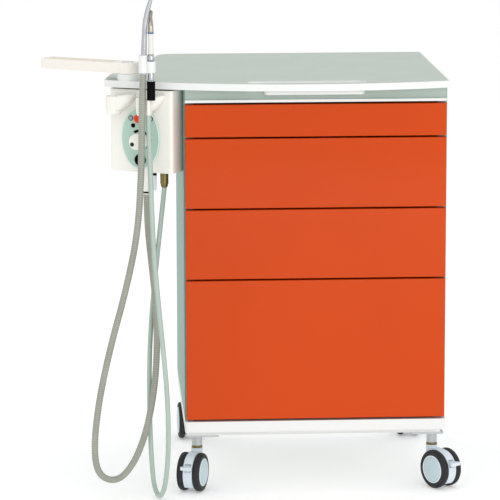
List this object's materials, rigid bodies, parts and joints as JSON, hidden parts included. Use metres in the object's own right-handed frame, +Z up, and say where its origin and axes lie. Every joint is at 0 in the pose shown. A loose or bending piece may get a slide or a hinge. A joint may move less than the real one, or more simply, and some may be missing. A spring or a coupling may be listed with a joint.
{
  "type": "mobile dental motor cart",
  "caption": "Drawer cabinet on casters with a side-hung endodontic motor unit, a swing tray and two hose-fed dental instruments in a holder.",
  "frame": {"origin": "on the floor, under the middle of the footprint of everything but the hoses", "axes": "+X to the user's right, +Y away from the user, +Z up; the drawers open towards -Y"},
  "size_m": [0.8086, 0.5885, 0.9851],
  "materials": {
    "panel_green": "grey-green laminate on board",
    "white_laminate": "white laminate on board",
    "orange_lacquer": "orange gloss lacquer on board",
    "worktop_green_grey": "grey-green laminate on board",
    "white_plastic": "satin",
    "drawer_grey": "grey laminate on board",
    "zinc_steel": "zinc plated",
    "caster_grey": "satin",
    "tyre_black": "matt",
    "chrome_plate": "polished",
    "mint_plastic": "satin",
    "orange_plastic": "gloss",
    "black_plastic": "satin",
    "lens_clear": "gloss",
    "nickel_brass": "satin",
    "blue_ring": "gloss",
    "hose_beige": "matt",
    "hose_mint": "satin",
    "board_green": "satin",
    "iron_core": "matt",
    "valve_alloy": "satin"
  },
  "bodies": {
    "cart": {"side_panel_left": "panel_green", "side_panel_right": "panel_green", "back_panel": "panel_green", "top_rail": "white_laminate", "base_plinth": "white_laminate", "worktop_board": "worktop_green_grey", "worktop_edge_band": "white_laminate", "drawer_rails": "zinc_steel", "caster_mounts": "zinc_steel", "unit_housing": "white_plastic", "unit_back_cover": "white_plastic", "unit_mount_screws": "zinc_steel", "control_panel": "mint_plastic", "cradle_left": "white_plastic", "cradle_right": "white_plastic", "arm_pivot_base": "white_plastic", "instrument_holder": "white_plastic", "air_fitting": "nickel_brass", "hose_strain_relief": "white_plastic", "spare_port_plug": "white_plastic", "motor_jack": "black_plastic", "indicator_lenses": "lens_clear", "motor_control_board": "board_green", "power_transformer": "iron_core", "air_valve_block": "valve_alloy", "cannula_handle": "chrome_plate", "micromotor": "black_plastic", "motor_cable_sleeve": "white_plastic", "corrugated_hose": "hose_beige", "motor_hose": "hose_mint"},
    "cannula": {"cannula_tip": "chrome_plate"},
    "contra_angle": {"contra_angle_grip": "white_plastic", "colour_ring": "blue_ring", "contra_angle_head": "chrome_plate"},
    "chuck_button": {"chuck_button": "chrome_plate"},
    "swing_tray": {"swing_tray": "white_plastic", "tray_boss_cap": "chrome_plate"},
    "speed_knob": {"speed_knob": "white_plastic", "knob_pointer": "black_plastic"},
    "start_button": {"start_button": "orange_plastic"},
    "mode_button": {"mode_button": "black_plastic"},
    "drawer_1": {"drawer_front_1": "orange_lacquer", "drawer_box_1": "drawer_grey"},
    "drawer_2": {"drawer_front_2": "orange_lacquer", "drawer_box_2": "drawer_grey"},
    "drawer_3": {"drawer_front_3": "orange_lacquer", "drawer_box_3": "drawer_grey"},
    "drawer_4": {"drawer_front_4": "orange_lacquer", "drawer_box_4": "drawer_grey"},
    "caster_front_left": {"caster_housing_front_left": "caster_grey"},
    "wheels_front_left": {"caster_wheels_front_left": "tyre_black"},
    "brake_front_left": {"caster_brake_front_left": "caster_grey"},
    "caster_front_right": {"caster_housing_front_right": "caster_grey"},
    "wheels_front_right": {"caster_wheels_front_right": "tyre_black"},
    "brake_front_right": {"caster_brake_front_right": "caster_grey"},
    "caster_rear_left": {"caster_housing_rear_left": "caster_grey"},
    "wheels_rear_left": {"caster_wheels_rear_left": "tyre_black"},
    "caster_rear_right": {"caster_housing_rear_right": "caster_grey"},
    "wheels_rear_right": {"caster_wheels_rear_right": "tyre_black"}
  },
  "joints": [
    {"name": "cannula_swivel", "type": "hinge", "parent": "cart", "child": "cannula", "pos_m": [-0.21098, -0.26982, 0.8283], "axis": [0.0384, 0, 0.9993], "range_deg": [-180, 0]},
    {"name": "contra_angle_swivel", "type": "hinge", "parent": "cart", "child": "contra_angle", "pos_m": [-0.19628, -0.26982, 0.87], "axis": [0, 0, 1], "range_deg": [-120, 15]},
    {"name": "chuck_press", "type": "slide", "parent": "contra_angle", "child": "chuck_button", "axis": [0, -0.8829, 0.4695], "range_m": [0, 0.0008], "stiffness_N_per_m": 600},
    {"name": "tray_swing", "type": "hinge", "parent": "cart", "child": "swing_tray", "pos_m": [-0.23878, -0.18982, 0.8196], "axis": [0, 0, 1], "range_deg": [-90, 90]},
    {"name": "speed_turn", "type": "hinge", "parent": "cart", "child": "speed_knob", "pos_m": [-0.21528, -0.21782, 0.6925], "axis": [-0.4555, -0.8902, 0], "range_deg": [-270, 0]},
    {"name": "start_press", "type": "slide", "parent": "cart", "child": "start_button", "axis": [0.4555, 0.8902, 0], "range_m": [0, 0.0015], "stiffness_N_per_m": 400},
    {"name": "mode_press", "type": "slide", "parent": "cart", "child": "mode_button", "axis": [0.4555, 0.8902, 0], "range_m": [0, 0.0012], "stiffness_N_per_m": 400},
    {"name": "drawer_1_slide", "type": "slide", "parent": "cart", "child": "drawer_1", "axis": [0, -1, 0], "range_m": [0, 0.36]},
    {"name": "drawer_2_slide", "type": "slide", "parent": "cart", "child": "drawer_2", "axis": [0, -1, 0], "range_m": [0, 0.36]},
    {"name": "drawer_3_slide", "type": "slide", "parent": "cart", "child": "drawer_3", "axis": [0, -1, 0], "range_m": [0, 0.36]},
    {"name": "drawer_4_slide", "type": "slide", "parent": "cart", "child": "drawer_4", "axis": [0, -1, 0], "range_m": [0, 0.36]},
    {"name": "front_left_swivel", "type": "hinge", "parent": "cart", "child": "caster_front_left", "pos_m": [-0.10978, -0.16881, 0.09], "axis": [0, 0, 1], "continuous": true},
    {"name": "front_left_roll", "type": "hinge", "parent": "caster_front_left", "child": "wheels_front_left", "pos_m": [-0.11935, -0.19513, 0.0375], "axis": [0.9397, -0.342, 0], "continuous": true},
    {"name": "front_left_brake", "type": "hinge", "parent": "caster_front_left", "child": "brake_front_left", "pos_m": [-0.12996, -0.22426, 0.0515], "axis": [0.9397, -0.342, 0], "range_deg": [0, 12]},
    {"name": "front_right_swivel", "type": "hinge", "parent": "cart", "child": "caster_front_right", "pos_m": [0.35122, -0.17181, 0.09], "axis": [0, 0, 1], "continuous": true},
    {"name": "front_right_roll", "type": "hinge", "parent": "caster_front_right", "child": "wheels_front_right", "pos_m": [0.36688, -0.19503, 0.0375], "axis": [0.829, 0.5592, 0], "continuous": true},
    {"name": "front_right_brake", "type": "hinge", "parent": "caster_front_right", "child": "brake_front_right", "pos_m": [0.38421, -0.22073, 0.0515], "axis": [0.829, 0.5592, 0], "range_deg": [0, 12]},
    {"name": "rear_left_swivel", "type": "hinge", "parent": "cart", "child": "caster_rear_left", "pos_m": [-0.10978, 0.22418, 0.09], "axis": [0, 0, 1], "continuous": true},
    {"name": "rear_left_roll", "type": "hinge", "parent": "caster_rear_left", "child": "wheels_rear_left", "pos_m": [-0.11124, 0.25215, 0.0375], "axis": [-0.9986, -0.0523, 0], "continuous": true},
    {"name": "rear_right_swivel", "type": "hinge", "parent": "cart", "child": "caster_rear_right", "pos_m": [0.34822, 0.22418, 0.09], "axis": [0, 0, 1], "continuous": true},
    {"name": "rear_right_roll", "type": "hinge", "parent": "caster_rear_right", "child": "wheels_rear_right", "pos_m": [0.35018, 0.25212, 0.0375], "axis": [-0.9976, 0.0698, 0], "continuous": true}
  ]
}
